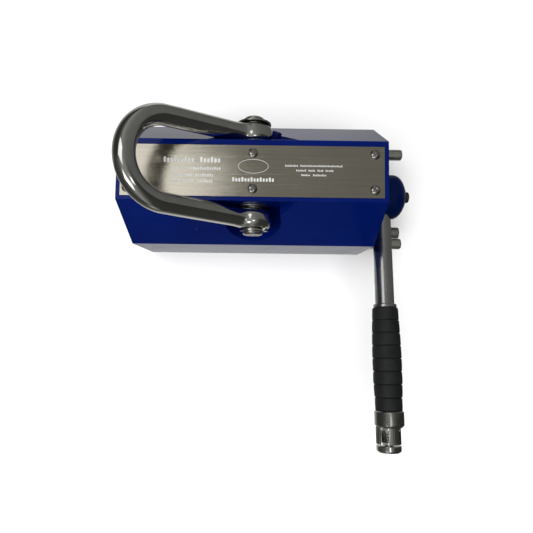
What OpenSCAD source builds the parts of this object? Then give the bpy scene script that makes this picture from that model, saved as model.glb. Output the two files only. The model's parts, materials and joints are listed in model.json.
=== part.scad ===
// Permanent lifting magnet: a split steel housing with a turning magnet rotor,
// worked by a side lever between two stop pins, and hung from a folding shackle.
// X runs along the body (the lever is at +X), Y across it, and Z up.
// The origin is the centre of the flat lifting face.

/* [Housing] */
// Length over both end plates
body_len = 270; // [260:1:300]
// Width across the two lifting poles
body_w = 134; // [132:1:150]
// Height from the lifting face to the top face
body_h = 164; // [160:1:170]
// Width of the top face
top_w = 61.4; // [58:0.2:66]
// Height at which the walls turn into the sloping shoulders
shoulder_z = 97; // [94:1:100]
// Thickness of each end plate
plate_t = 5; // [4:0.5:6]
// Half of the non-magnetic gap between the two poles
gap_half = 12; // [10:0.5:13]

/* [Nameplate] */
// Length of the nameplate
name_len = 261; // [240:1:262]
// Width of the nameplate
name_w = 51.6; // [50:0.2:56]
// Thickness of the nameplate
name_t = 1.2; // [0.8:0.1:2]
// Sideways offset of the nameplate from the body's middle
name_y = -1.15; // [-2:0.05:2]

/* [Shackle] */
// Height of the shackle pin
pin_z = 134; // [133:0.5:135]
// Radius of the shackle pin
pin_r = 10.75; // [10.5:0.05:10.8]
// Distance from the body's middle plane to the near end of the shackle pin
pin_near = 61; // [60.5:0.1:66]
// Distance from the body's middle plane to the far end of the shackle pin
pin_far = 63.6; // [62.5:0.1:66]
// Radius of the shackle's round bar
bar_r = 10.1; // [9.5:0.1:10.2]
// Radius of the bow at the bar's centre line
bow_r = 41.15; // [40:0.05:42]
// Distance from the pin to the centre of the bow
bow_d = 100; // [95:1:110]
// Angle of the folded shackle above level
fold_a = 38.6; // [38.6:0.1:42]
// How far each leg leans outwards
leg_lean = 1.9; // [1.5:0.1:2]
// Radius of the forged eyes
eye_r = 20; // [19:0.5:21]

/* [Lever] */
// Height of the rotor's axis
axis_z = 47; // [47:0.5:48]
// Distance from the body's middle to the lever
lever_x = 155; // [154:0.5:156]
// Angle of the resting lever above level
lever_tilt = 8; // [7:0.5:9]
// Radius of the lever's bar
lever_r = 11; // [10:0.25:11]
// Distance from the rotor's axis to the grip
grip_start = 137.2; // [130:0.1:140]
// Length of the grip
grip_len = 115.9; // [110:0.1:120]
// Number of bands on the grip
grip_bands = 8; // [6:1:10]

/* [Rotor] */
// Radius of the rotor
rotor_r = 36; // [35:0.25:36]
// Length of the rotor's magnetic part
rotor_len = 208; // [200:1:210]
// Radius of the rotor's journals
journal_r = 14; // [13:0.5:14]

/* [Stops and lock] */
// Distance of each stop pin from the middle plane
stop_y = 56.3; // [56:0.1:57]
// Radius of the stop pins
stop_r = 6.8; // [6.5:0.1:7]
// Distance from the body's middle to the near stop pin's end
stop_end_near = 181.8; // [180:0.1:186]
// Distance from the body's middle to the far stop pin's end
stop_end_far = 184; // [180:0.1:186]
// Travel of the lock button
lock_travel = 6; // [5:0.5:6]
// Travel of the pull ring at the lever's end
ring_travel = 5; // [4:0.5:5]

/* [Hidden] */
$fn = 96;

eps = 0.05;            // clearance of parts that are seated or run in each other
over = 1;              // how far a cutter runs past a face
half_len = body_len / 2;
half_w = body_w / 2;
inner_half = half_len - plate_t;
slope_run = (half_w - top_w / 2) / (body_h - shoulder_z);

// Rotor, bore and end parts, measured along X from the body's middle
bore_r = rotor_r + 0.6;
rotor_half = rotor_len / 2;
cap_t = 6;
carrier_x0 = rotor_half + cap_t + 1;
carrier_x1 = carrier_x0 + 7;
recess_r = 49.3;
recess_floor_z = 22;
lock_plate_x0 = carrier_x1 + 2;
lock_plate_t = inner_half - lock_plate_x0 - 4;
bush_r = journal_r + 3;
seal_r = journal_r + 6;
slab_half = 10;
slab_reach = 27;

// Magnets and bridge in the gap between the poles
magnet_z0 = 84;
magnet_z1 = 118;
magnet_count = 4;
flange_half = 23;
flange_t = 10;

// Ear pockets and shackle
pocket_r = 29.5;
pocket_y = 31;
flare_top = 46.5;
flare_bottom = 27;
flare_z = 141.8;
eye_in = 33.5;
eye_out = 55.5;
eye_y = (eye_in + eye_out) / 2;
leg_slim = 0.2;        // each leg is this much slimmer than the bow that it enters
leg_entry = 2;
pin_bush_r = 13;
bush_flange_r = 18.5;
bush_flange_t = 1.6;
washer_r = 18;
washer_t = 1.6;
ring_gap = 0.3;        // free play of each eye against the ring beside it
groove_near = eye_out + ring_gap;
groove_far = groove_near + washer_t;
groove_w = 1.5;
groove_r = pin_r - 1.1;
clip_r = 13.4;

// Nameplate screws
name_screw_x = [-123.6, 0, 121];
name_screw_y = 17.8;

// Lever, distances measured along the lever from the rotor's axis
hub_r = 27.3;
hub_x0 = half_len + 1.5;
hub_dome_x = 166.2;
hub_x1 = 184.25;
hub_flat_r = 8;
journal_end = 172;
hub_web = 3;
hub_bore = 6.8;
bolt_head_h = 6.5;
bolt_len = 18;
plug_end = 189;
tenon_r = 8;
tenon_half = 11;
bar_start = 15;
collar_w = 4.4;
collar_r = 13.4;
grip_end_r = 14.9;
grip_mid_r = 16.4;
band_cut = 0.9;
band_cut_half = 0.8;
end_collar_len = 17.8;
end_collar_r = 16.35;
tail_x = -1.7;         // sideways offset of the cage and the pull ring from the lever's axis
cage_len = 17.2;
cage_r = 13.7;
cage_bore = 11.6;
cage_wall = 2.4;
cage_gap = 1.5;
slot_w = 8.5;
slot_turn = -30;
ring_len = 7.6;
ring_r = 13.8;
stem_r = 5;
stem_head_r = 10.8;
stem_head_t = 2;
pull_spring_r = 9.4;
pull_wire_r = 0.6;
grip_end = grip_start + grip_len;
cage_start = grip_end + end_collar_len;
cage_end = cage_start + cage_len;
ring_start = cage_end + cage_gap;
stem_start = cage_start + 2.2;
spring_from = stem_start + stem_head_t + 0.2;

// Stops and lock
stop_gap = 0.3;
stop_root = 100;
stop_drop = (lever_r + stop_r + stop_gap - stop_y * sin(lever_tilt)) / cos(lever_tilt);
stop_z = axis_z - stop_drop;
lock_y = -42.2;
lock_z = 35;
lock_dist = norm([lock_y, lock_z - axis_z]);
lock_angle = atan2(lock_z - axis_z, lock_y);
guide_r = 6.3;
guide_bore = 4.7;
guide_end = 151.5;
guide_wall = 3;
neck_r = 5.2;
knob_r = 6.8;
knob_x = 169.5;
knob_end = 179.2;
knob_start = guide_end + lock_travel + 0.5;
lock_pin_r = 2.5;
lock_tip = lock_plate_x0 + lock_plate_t + 1.2;
lock_spring_r = 3.7;
lock_wire_r = 0.45;

// End plate screws, as [y, z] of each pair
plate_screw_at = [[25, 140], [52, 100], [56, 12]];
bridge_screw_x = [-90, -45, 45, 90];
bridge_screw_y = 16.3;

paint_blue = [0.03, 0.09, 0.42];
steel = [0.62, 0.63, 0.64];
chrome = [0.85, 0.85, 0.84];
magnet_grey = [0.55, 0.56, 0.58];
brass = [0.78, 0.62, 0.3];
bronze = [0.65, 0.45, 0.25];
black = [0.05, 0.05, 0.055];

// ---------- shared shapes ----------

// A round bar along X from x0 to x1
module bar_x(x0, x1, r) {
    translate([x0, 0, 0]) rotate([0, 90, 0]) cylinder(h = x1 - x0, r = r);
}

// A round bar along Y from y0 to y1
module bar_y(y0, y1, r) {
    translate([0, y1, 0]) rotate([90, 0, 0]) cylinder(h = y1 - y0, r = r);
}

// An outline drawn in Y and Z, given length along X
module prism_x(x0, x1) {
    translate([x0, 0, 0]) rotate([90, 0, 90]) linear_extrude(x1 - x0) children();
}

// An outline of radius and height, turned about the X axis
module turned_x() {
    rotate([0, 90, 0]) rotate_extrude() children();
}

// The housing's end outline
module body_outline() {
    polygon([
        [-half_w, 0], [half_w, 0], [half_w, shoulder_z], [top_w / 2, body_h],
        [-top_w / 2, body_h], [-half_w, shoulder_z]
    ]);
}

module on_axis() {
    translate([0, 0, axis_z]) children();
}

// The turning frame of the rotor: the lever points along -Y in it
module rotor_frame() {
    on_axis() rotate([-lever_tilt, 0, 0]) children();
}

module at_lock() {
    translate([0, lock_y, lock_z]) children();
}

module both_sides() {
    children();
    mirror([0, 1, 0]) children();
}

module at_name_screws() {
    for (x = name_screw_x) for (side = [-1, 1])
        translate([x, name_y + side * name_screw_y, body_h]) children();
}

// A round bar along the lever, between two distances from the rotor's axis
module bar_lever(s0, s1, r) {
    translate([lever_x, -s0, 0]) rotate([90, 0, 0]) cylinder(h = s1 - s0, r = r);
}

// An outline of radius and distance, turned about the lever's axis
module turned_lever() {
    translate([lever_x, 0, 0]) rotate([90, 0, 0]) rotate_extrude() children();
}

// The turning frame of the rotor, moved to the axis of the lever's end fitting
module tail_frame() {
    rotor_frame() translate([tail_x, 0, 0]) children();
}

// A coil spring along Z, from 0 to h, with closed ends held inside that height
module coil_spring(coil_r, wire_r, h, turns) {
    sides = 6;
    steps = 16;
    count = turns * steps;
    rise = h - 2 * wire_r;
    rings = [for (i = [0:count]) [for (k = [0:sides - 1])
        let (
            turn = 360 * i / steps,
            r = coil_r + wire_r * cos(360 * k / sides)
        )
        [r * cos(turn), r * sin(turn), wire_r + rise * i / count + wire_r * sin(360 * k / sides)]
    ]];
    skin = [for (i = [0:count - 1]) for (k = [0:sides - 1])
        let (a = i * sides, b = (i + 1) * sides, n = (k + 1) % sides)
        [a + k, b + k, b + n, a + n]
    ];
    start_cap = [for (k = [0:sides - 1]) k];
    end_cap = [for (k = [sides - 1:-1:0]) count * sides + k];
    polyhedron(points = [for (ring = rings) for (p = ring) p], faces = concat(skin, [start_cap], [end_cap]));
}

// ---------- housing ----------

// Space for a shackle eye and its leg in one shoulder, on the +Y side
module ear_pocket() {
    translate([0, 0, pin_z]) bar_y(pocket_y, half_w + over, pocket_r);
    translate([0, half_w + over, 0]) rotate([90, 0, 0])
        linear_extrude(half_w + over - pocket_y)
            polygon([
                [-flare_bottom, flare_z], [flare_bottom, flare_z],
                [flare_top, body_h], [flare_top, body_h + over],
                [-flare_top, body_h + over], [-flare_top, body_h]
            ]);
}

// Room in front of the rotor in which the lock plate swings
module lock_recess() {
    intersection() {
        on_axis() bar_x(carrier_x1, inner_half + over, recess_r);
        translate([0, -half_w, recess_floor_z]) cube([body_len, body_w, body_h]);
    }
}

module rotor_bore() {
    on_axis() bar_x(-inner_half - over, carrier_x1 + eps, bore_r);
}

module plate_screw_holes(x0, x1, r) {
    both_sides() for (p = plate_screw_at)
        translate([0, p[0], p[1]]) bar_x(x0, x1, r);
}

module stop_pin_hole() {
    translate([0, stop_y, stop_z]) bar_x(stop_root, half_len + over, stop_r + eps);
}

module bridge_space() {
    translate([-inner_half, -flange_half, body_h - flange_t])
        cube([2 * inner_half, 2 * flange_half, flange_t + over]);
}

// The pole on the +Y side
module pole_shoe() {
    difference() {
        intersection() {
            prism_x(-inner_half, inner_half) body_outline();
            translate([-half_len, gap_half, 0]) cube([body_len, half_w, body_h]);
        }
        rotor_bore();
        lock_recess();
        bridge_space();
        ear_pocket();
        translate([0, 0, pin_z]) bar_y(0, pocket_y + over, pin_bush_r + eps);
        stop_pin_hole();
        plate_screw_holes(inner_half - 22, inner_half + over, 4 + eps);
        plate_screw_holes(-inner_half - over, -inner_half + 22, 4 + eps);
        for (x = bridge_screw_x)
            translate([x, bridge_screw_y, 138]) cylinder(h = 30, r = 4 + eps);
    }
}

module pole_shoe_near() {
    color(paint_blue) mirror([0, 1, 0]) pole_shoe();
}

module pole_shoe_far() {
    color(paint_blue) pole_shoe();
}

// T-shaped bar that joins the poles without carrying flux
module top_bridge() {
    color(steel) difference() {
        union() {
            translate([-inner_half, -gap_half, magnet_z1])
                cube([2 * inner_half, 2 * gap_half, body_h - magnet_z1 - flange_t]);
            translate([-inner_half, -flange_half, body_h - flange_t])
                cube([2 * inner_half, 2 * flange_half, flange_t]);
        }
        translate([0, 0, pin_z]) bar_y(-gap_half - over, gap_half + over, pin_r + eps);
        both_sides() for (x = bridge_screw_x) {
            translate([x, bridge_screw_y, body_h - 6.5]) cylinder(h = 8, r = 6.6);
            translate([x, bridge_screw_y, body_h - 12]) cylinder(h = 13, r = 4 + eps);
        }
        at_name_screws() translate([0, 0, 0.5 - flange_t]) cylinder(h = flange_t, r = 2.5);
    }
}

// Socket head screw hanging down from its head's top at z = 0
module cap_screw(head_r, head_h, shank_r, len) {
    difference() {
        union() {
            translate([0, 0, -head_h]) cylinder(h = head_h, r = head_r);
            translate([0, 0, -len]) cylinder(h = len - head_h + eps, r = shank_r);
        }
        translate([0, 0, -head_h * 0.6]) cylinder(h = head_h, r = head_r * 0.5, $fn = 6);
    }
}

module bridge_screws() {
    color(steel) both_sides() for (x = bridge_screw_x)
        translate([x, bridge_screw_y, body_h - 0.4]) cap_screw(6.5, 6.1, 4, 25);
}

module bottom_spacer() {
    color(brass) difference() {
        translate([-inner_half, -gap_half, 0]) cube([2 * inner_half, 2 * gap_half, gap_half + 0.4]);
        rotor_bore();
        on_axis() bar_x(carrier_x1, inner_half + over, bore_r);
    }
}

module fixed_magnets() {
    len = 224 / magnet_count;
    color(magnet_grey) for (i = [0:magnet_count - 1])
        translate([-112 + i * len, -gap_half, magnet_z0])
            cube([len - 0.4, 2 * gap_half, magnet_z1 - magnet_z0]);
}

// Fillers that close the gap at both ends of the magnets
module magnet_end_blocks() {
    z0 = axis_z + recess_r + 0.5;
    color(brass) {
        translate([-inner_half, -gap_half, magnet_z0])
            cube([inner_half - 112, 2 * gap_half, magnet_z1 - magnet_z0]);
        translate([112, -gap_half, z0])
            cube([inner_half - 112, 2 * gap_half, magnet_z1 - z0]);
    }
}

// Countersunk holes for the end plate screws, seen from the outside at x = 0
module countersinks() {
    both_sides() for (p = plate_screw_at)
        translate([0, p[0], p[1]]) rotate([0, -90, 0])
            translate([0, 0, -eps]) cylinder(h = 4 + eps, r1 = 8.1, r2 = 4 + eps);
}

module end_plate_front() {
    color(paint_blue) difference() {
        prism_x(inner_half, half_len) body_outline();
        on_axis() bar_x(inner_half - over, half_len + over, seal_r + eps);
        both_sides() stop_pin_hole();
        at_lock() bar_x(inner_half - over, half_len + over, guide_r + eps);
        plate_screw_holes(inner_half - over, half_len + over, 4 + eps);
        translate([half_len, 0, 0]) countersinks();
    }
}

module end_plate_rear() {
    color(paint_blue) difference() {
        prism_x(-half_len, -inner_half) body_outline();
        plate_screw_holes(-half_len - over, -inner_half + over, 4 + eps);
        translate([-half_len, 0, 0]) mirror([1, 0, 0]) countersinks();
    }
}

// Countersunk screws of one end plate, heads flush with x = 0 and shanks towards -X
module plate_screws() {
    both_sides() for (p = plate_screw_at)
        translate([0, p[0], p[1]]) rotate([0, -90, 0]) difference() {
            union() {
                cylinder(h = 4, r1 = 8, r2 = 4);
                cylinder(h = 25, r = 4);
            }
            translate([0, 0, -over]) cylinder(h = 3.4 + over, r = 2.9, $fn = 6);
        }
}

module end_plate_screws_front() {
    color(steel) translate([half_len, 0, 0]) plate_screws();
}

module end_plate_screws_rear() {
    color(steel) translate([-half_len, 0, 0]) mirror([1, 0, 0]) plate_screws();
}

module bearing_carrier_front() {
    color(steel) on_axis() difference() {
        bar_x(carrier_x0, carrier_x1, bore_r - eps);
        bar_x(carrier_x0 - over, carrier_x1 + over, bush_r + eps);
    }
}

module bearing_carrier_rear() {
    color(steel) on_axis() difference() {
        bar_x(-inner_half, -carrier_x0, bore_r - eps);
        bar_x(-inner_half + 3, -carrier_x0 + over, bush_r + eps);
    }
}

module bearing_bush_front() {
    color(bronze) on_axis() difference() {
        bar_x(carrier_x0, carrier_x1, bush_r);
        bar_x(carrier_x0 - over, carrier_x1 + over, journal_r + eps);
    }
}

module bearing_bush_rear() {
    color(bronze) on_axis() difference() {
        bar_x(-inner_half + 3, -carrier_x0, bush_r);
        bar_x(-inner_half, -carrier_x0 + over, journal_r + eps);
    }
}

module shaft_seal() {
    color(black) on_axis() difference() {
        bar_x(inner_half + 0.2, half_len - 0.2, seal_r);
        bar_x(inner_half - over, half_len + over, journal_r + eps);
    }
}

module nameplate() {
    color(steel) difference() {
        translate([-name_len / 2, name_y - name_w / 2, body_h]) cube([name_len, name_w, name_t]);
        at_name_screws() translate([0, 0, -over]) cylinder(h = name_t + 2 * over, r = 2.8);
    }
}

module nameplate_screws() {
    head = [for (a = [0:15:90]) [5 * cos(a), 2.4 * sin(a)]];
    color(chrome) at_name_screws() translate([0, 0, name_t]) difference() {
        union() {
            rotate_extrude() polygon(concat([[0, 0]], head));
            translate([0, 0, -9.5]) cylinder(h = 9.5 + eps, r = 2.4);
        }
        for (a = [0, 90]) rotate([0, 0, a])
            translate([-2.6, -0.6, 1.1]) cube([5.2, 1.2, 3]);
    }
}

// ---------- shackle pin and its rings, each on the +Y side ----------

// One half of the pin, from the middle plane to its end
module pin_half(end, groove) {
    chamfer = 1.6;
    difference() {
        union() {
            bar_y(-eps, end - chamfer, pin_r);
            translate([0, end - chamfer, 0]) rotate([-90, 0, 0])
                cylinder(h = chamfer, r1 = pin_r, r2 = pin_r - chamfer);
        }
        difference() {
            bar_y(groove, groove + groove_w, pin_r + over);
            bar_y(groove - over, groove + groove_w + over, groove_r);
        }
    }
}

module shackle_pin() {
    color(chrome) translate([0, 0, pin_z]) {
        pin_half(pin_far, groove_far);
        mirror([0, 1, 0]) pin_half(pin_near, groove_near);
    }
}

module pin_bush() {
    color(steel) translate([0, 0, pin_z]) difference() {
        union() {
            bar_y(gap_half, pocket_y, pin_bush_r);
            bar_y(pocket_y, pocket_y + bush_flange_t, bush_flange_r);
        }
        bar_y(gap_half - over, pocket_y + bush_flange_t + over, pin_r + eps);
    }
}

module pin_bush_near() {
    mirror([0, 1, 0]) pin_bush();
}

module pin_bush_far() {
    pin_bush();
}

module pin_washer_far() {
    color(steel) translate([0, 0, pin_z]) difference() {
        bar_y(eye_out + ring_gap, groove_far, washer_r);
        bar_y(eye_out, groove_far + over, pin_r + eps);
    }
}

// Spring ring in a groove of the pin, its open side turned about the pin
module circlip(groove, turn) {
    lug_at = clip_r - 0.4;
    y0 = groove + eps;
    y1 = groove + groove_w - eps;
    color(chrome) translate([0, 0, pin_z]) rotate([0, turn, 0]) difference() {
        union() {
            bar_y(y0, y1, clip_r);
            for (x = [-4, 4])
                translate([x, 0, lug_at]) bar_y(y0, y1, 2.6);
        }
        bar_y(y0 - over, y1 + over, groove_r + eps);
        translate([-1.5, y0 - over, 0]) cube([3, groove_w + 2 * over, 2 * clip_r]);
        for (x = [-4, 4])
            translate([x, 0, lug_at]) bar_y(y0 - over, y1 + over, 1.1);
    }
}

module circlip_near() {
    mirror([0, 1, 0]) circlip(groove_near, 75);
}

module circlip_far() {
    circlip(groove_far, -48);
}

// ---------- stops and lock ----------

module stop_pin(end) {
    chamfer = 1.5;
    color(chrome) translate([0, stop_y, stop_z]) {
        bar_x(stop_root, end - chamfer, stop_r);
        translate([end - chamfer, 0, 0]) rotate([0, 90, 0])
            cylinder(h = chamfer, r1 = stop_r, r2 = stop_r - chamfer);
    }
}

module stop_pin_near() {
    mirror([0, 1, 0]) stop_pin(stop_end_near);
}

module stop_pin_far() {
    stop_pin(stop_end_far);
}

module lock_guide() {
    color(steel) at_lock() difference() {
        bar_x(inner_half, guide_end, guide_r);
        bar_x(inner_half + guide_wall, guide_end + over, guide_bore);
        bar_x(inner_half - over, inner_half + guide_wall + over, lock_pin_r + 2 * eps);
    }
}

module lock_button() {
    ribs = 18;
    color(steel) at_lock() {
        bar_x(lock_tip, knob_start, lock_pin_r);
        bar_x(knob_start, knob_x, neck_r);
        difference() {
            bar_x(knob_x, knob_end, knob_r);
            for (i = [0:ribs - 1]) rotate([i * 360 / ribs, 0, 0])
                translate([knob_x - over, knob_r - 0.5, -0.4])
                    cube([knob_end - knob_x - 1, 2, 0.8]);
        }
    }
}

module lock_spring() {
    x0 = inner_half + guide_wall + 0.2;
    color(chrome) at_lock() translate([x0, 0, 0]) rotate([0, 90, 0])
        coil_spring(lock_spring_r, lock_wire_r, knob_start - x0 - 0.2, 9);
}

// ---------- rotor ----------

// One half of the rotor's circle, beyond the magnet slab
module rotor_pole() {
    intersection() {
        bar_x(-rotor_half, rotor_half, rotor_r);
        translate([-rotor_half - over, slab_half, -rotor_r])
            cube([rotor_len + 2 * over, rotor_r, 2 * rotor_r]);
    }
}

// Tapped holes for the cap screws at both ends of the pole
module cap_screw_holes(x0, x1, r) {
    both_sides() for (t = [-12, 12])
        translate([0, 24, t]) bar_x(x0, x1, r);
}

module rotor_pole_drilled() {
    difference() {
        rotor_pole();
        cap_screw_holes(rotor_half - 18, rotor_half + over, 3 + eps);
        cap_screw_holes(-rotor_half - over, -rotor_half + 18, 3 + eps);
    }
}

module rotor_pole_near() {
    color(steel) rotor_frame() mirror([0, 1, 0]) rotor_pole_drilled();
}

module rotor_pole_far() {
    color(steel) rotor_frame() rotor_pole_drilled();
}

module rotor_magnets() {
    len = rotor_len / magnet_count;
    color(magnet_grey) rotor_frame() for (i = [0:magnet_count - 1])
        translate([-rotor_half + i * len + 0.2, -slab_half, -slab_reach])
            cube([len - 0.4, 2 * slab_half, 2 * slab_reach]);
}

// Non-magnetic strips that fill the circle beside the magnets
module rotor_spacers() {
    color(brass) rotor_frame() for (side = [0, 180]) rotate([side, 0, 0])
        intersection() {
            bar_x(-rotor_half, rotor_half, rotor_r);
            translate([-rotor_half - over, -slab_half, slab_reach])
                cube([rotor_len + 2 * over, 2 * slab_half, rotor_r]);
        }
}

// End disc and journal, turned as one piece, on the +X side
module rotor_cap(journal_x) {
    difference() {
        union() {
            bar_x(rotor_half, rotor_half + cap_t, rotor_r - 0.4);
            bar_x(rotor_half, journal_x, journal_r);
        }
        cap_screw_holes(rotor_half - over, rotor_half + cap_t + over, 3 + eps);
        cap_screw_holes(rotor_half + cap_t - 3.6, rotor_half + cap_t + over, 5.6);
    }
}

module rotor_cap_front() {
    color(steel) rotor_frame() difference() {
        rotor_cap(journal_end);
        bar_lever(-tenon_half - 4, tenon_half + 4, tenon_r + eps);
        bar_x(journal_end + hub_web + bolt_head_h - bolt_len, journal_end + over, 4 + eps);
        key_space();
    }
}

module rotor_cap_rear() {
    color(steel) rotor_frame() mirror([1, 0, 0]) rotor_cap(inner_half - 3.5);
}

module rotor_screws() {
    both_sides() for (t = [-12, 12])
        translate([rotor_half + cap_t - 0.2, 24, t]) rotate([0, 90, 0])
            cap_screw(5.5, 3.3, 3, 20);
}

module rotor_screws_front() {
    color(steel) rotor_frame() rotor_screws();
}

module rotor_screws_rear() {
    color(steel) rotor_frame() mirror([1, 0, 0]) rotor_screws();
}

// Room for the key between the front journal and the lock plate
module key_space() {
    translate([lock_plate_x0, -2.5, journal_r - 2.5]) cube([lock_plate_t, 5, 5]);
}

module lock_plate() {
    arm_w = 11;
    color(steel) rotor_frame() difference() {
        rotate([lever_tilt, 0, 0]) prism_x(lock_plate_x0, lock_plate_x0 + lock_plate_t) difference() {
            union() {
                circle(r = journal_r + 7);
                rotate(lock_angle) translate([0, -arm_w / 2]) square([lock_dist, arm_w]);
                rotate(lock_angle) translate([lock_dist, 0]) circle(r = 4.8);
            }
            circle(r = journal_r + eps);
            rotate(lock_angle) translate([lock_dist, 0]) circle(r = lock_pin_r + 0.4);
        }
        key_space();
    }
}

module lock_plate_key() {
    color(steel) rotor_frame() key_space();
}

// ---------- lever ----------

module lever_hub() {
    dome = [for (a = [0:10:90])
        let (u = sin(a))
        [
            hub_flat_r + (hub_r - hub_flat_r) * pow(1 - pow(u, 2.6), 0.935),
            hub_dome_x + (hub_x1 - hub_dome_x) * u
        ]
    ];
    edge = 1;
    color(paint_blue) rotor_frame() difference() {
        turned_x() polygon(concat(
            [[0, hub_x0], [hub_r - edge, hub_x0], [hub_r, hub_x0 + edge]], dome, [[0, hub_x1]]));
        bar_x(hub_x0 - over, journal_end, journal_r + eps);
        bar_x(journal_end - over, hub_x1 + over, 4 + eps);
        bar_x(journal_end + hub_web, hub_x1 + over, hub_bore);
        bar_lever(bar_start, hub_r + over, lever_r + eps);
        bar_lever(0, bar_start + over, tenon_r + eps);
    }
}

module hub_bolt() {
    color(steel) rotor_frame() translate([journal_end + hub_web + bolt_head_h, 0, 0])
        rotate([0, 90, 0]) cap_screw(hub_bore - 0.4, bolt_head_h, 4, bolt_len);
}

module hub_plug() {
    x0 = journal_end + hub_web + bolt_head_h + 0.3;
    r = hub_bore - eps;
    edge = 2;
    dome = [for (a = [0:15:90]) [r - edge + edge * cos(a), plug_end - edge + edge * sin(a)]];
    color(black) rotor_frame() turned_x()
        polygon(concat([[0, x0], [r, x0]], dome, [[0, plug_end]]));
}

module lever_bar() {
    color(chrome) rotor_frame() {
        bar_lever(-tenon_half, bar_start, tenon_r);
        bar_lever(bar_start, cage_start, lever_r);
    }
}

module lever_collar() {
    color(chrome) rotor_frame() difference() {
        turned_lever() polygon([
            [lever_r + eps, grip_start - collar_w], [collar_r - 0.8, grip_start - collar_w],
            [collar_r, grip_start - collar_w + 0.8], [collar_r, grip_start - 0.5],
            [collar_r - 0.5, grip_start], [lever_r + eps, grip_start]
        ]);
    }
}

// Radius of the grip at a share of its length: fullest in the middle
function grip_r(share) = grip_end_r + (grip_mid_r - grip_end_r) * sin(180 * share);

module grip() {
    band = grip_len / grip_bands;
    outline = [for (i = [0:grip_bands - 1])
        for (q = [[0, 1], [band_cut_half, 0], [band / 2, 0], [band - band_cut_half, 0]])
            let (s = i * band + q[0])
            [grip_r(s / grip_len) - q[1] * band_cut, grip_start + s]
    ];
    last = [grip_r(1) - band_cut, grip_end];
    color(black) rotor_frame() turned_lever() polygon(concat(
        [[lever_r + eps, grip_start]], outline, [last, [lever_r + eps, grip_end]]));
}

module end_collar() {
    chamfer = 2.6;
    s1 = cage_start;
    color(chrome) rotor_frame() turned_lever() polygon([
        [lever_r + eps, grip_end], [end_collar_r - 0.8, grip_end], [end_collar_r, grip_end + 0.8],
        [end_collar_r, s1 - chamfer], [end_collar_r - chamfer, s1], [lever_r + eps, s1]
    ]);
}

// Slotted sleeve that holds the pull ring's spring
module spring_cage() {
    color(chrome) tail_frame() difference() {
        bar_lever(cage_start, cage_end, cage_r);
        bar_lever(cage_start + 2, cage_end - cage_wall, cage_bore);
        bar_lever(cage_start + 3, cage_end + over, stem_r + 0.3);
        translate([lever_x, 0, 0]) for (quarter = [0:3]) rotate([0, slot_turn + 90 * quarter, 0])
            translate([-slot_w / 2, -cage_end + cage_wall, 0])
                cube([slot_w, cage_len - cage_wall - 2, 2 * cage_r]);
    }
}

module pull_ring() {
    ring_end = ring_start + ring_len;
    s1 = stem_start + stem_head_t;
    edge = 2;
    color(chrome) tail_frame() turned_lever() polygon([
        [0, stem_start], [stem_head_r, stem_start], [stem_head_r, s1], [stem_r, s1],
        [stem_r, ring_start], [ring_r - 0.6, ring_start], [ring_r, ring_start + 0.6],
        [ring_r, ring_end - edge], [ring_r - edge, ring_end], [0, ring_end]
    ]);
}

module pull_spring() {
    len = cage_end - cage_wall - 0.2 - spring_from;
    color(chrome) tail_frame() translate([lever_x, -spring_from, 0]) rotate([90, 0, 0])
        coil_spring(pull_spring_r, pull_wire_r, len, 3);
}

// ---------- shackle ----------

// The shackle in its own frame: the pin lies along Y at the origin and the bow is at -X
module shackle_shape() {
    lean_x = bow_r * sin(leg_lean);
    lean_y = bow_r * cos(leg_lean);
    leg_len = (bow_d + lean_x) / cos(leg_lean);
    eye_half = (eye_out - eye_in) / 2;
    crown = asin(eye_half / eye_r);
    rim = [for (i = [-4:4]) let (a = crown * i / 4) [eye_r * cos(a), eye_r * sin(a)]];
    difference() {
        union() {
            translate([-bow_d, 0, 0]) rotate([0, 0, 90 + leg_lean])
                rotate_extrude(angle = 180 - 2 * leg_lean) translate([bow_r, 0]) circle(r = bar_r);
            both_sides() {
                translate([-bow_d - lean_x, lean_y, 0]) rotate([0, 0, leg_lean]) rotate([0, 90, 0])
                    translate([0, 0, -leg_entry]) cylinder(h = leg_len + leg_entry, r = bar_r - leg_slim);
                translate([0, eye_y, 0]) rotate([90, 0, 0])
                    rotate_extrude() polygon(concat([[0, -eye_half]], rim, [[0, eye_half]]));
            }
        }
        bar_y(-eye_out - over, eye_out + over, pin_r + eps);
    }
}

module shackle_bow() {
    color(chrome) translate([0, 0, pin_z]) rotate([0, fold_a, 0]) shackle_shape();
}

pole_shoe_near();
pole_shoe_far();
top_bridge();
bridge_screws();
bottom_spacer();
fixed_magnets();
magnet_end_blocks();
end_plate_front();
end_plate_rear();
end_plate_screws_front();
end_plate_screws_rear();
bearing_carrier_front();
bearing_carrier_rear();
bearing_bush_front();
bearing_bush_rear();
shaft_seal();
nameplate();
nameplate_screws();
shackle_pin();
pin_bush_near();
pin_bush_far();
pin_washer_far();
circlip_near();
circlip_far();
stop_pin_near();
stop_pin_far();
lock_guide();
rotor_pole_near();
rotor_pole_far();
rotor_magnets();
rotor_spacers();
rotor_cap_front();
rotor_cap_rear();
rotor_screws_front();
rotor_screws_rear();
lock_plate();
lock_plate_key();
lever_hub();
hub_bolt();
hub_plug();
lever_bar();
lever_collar();
grip();
end_collar();
spring_cage();
lock_button();
lock_spring();
pull_ring();
pull_spring();
shackle_bow();
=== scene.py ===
import json
import math

import bmesh
import bpy
from mathutils import Matrix, Vector


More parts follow.
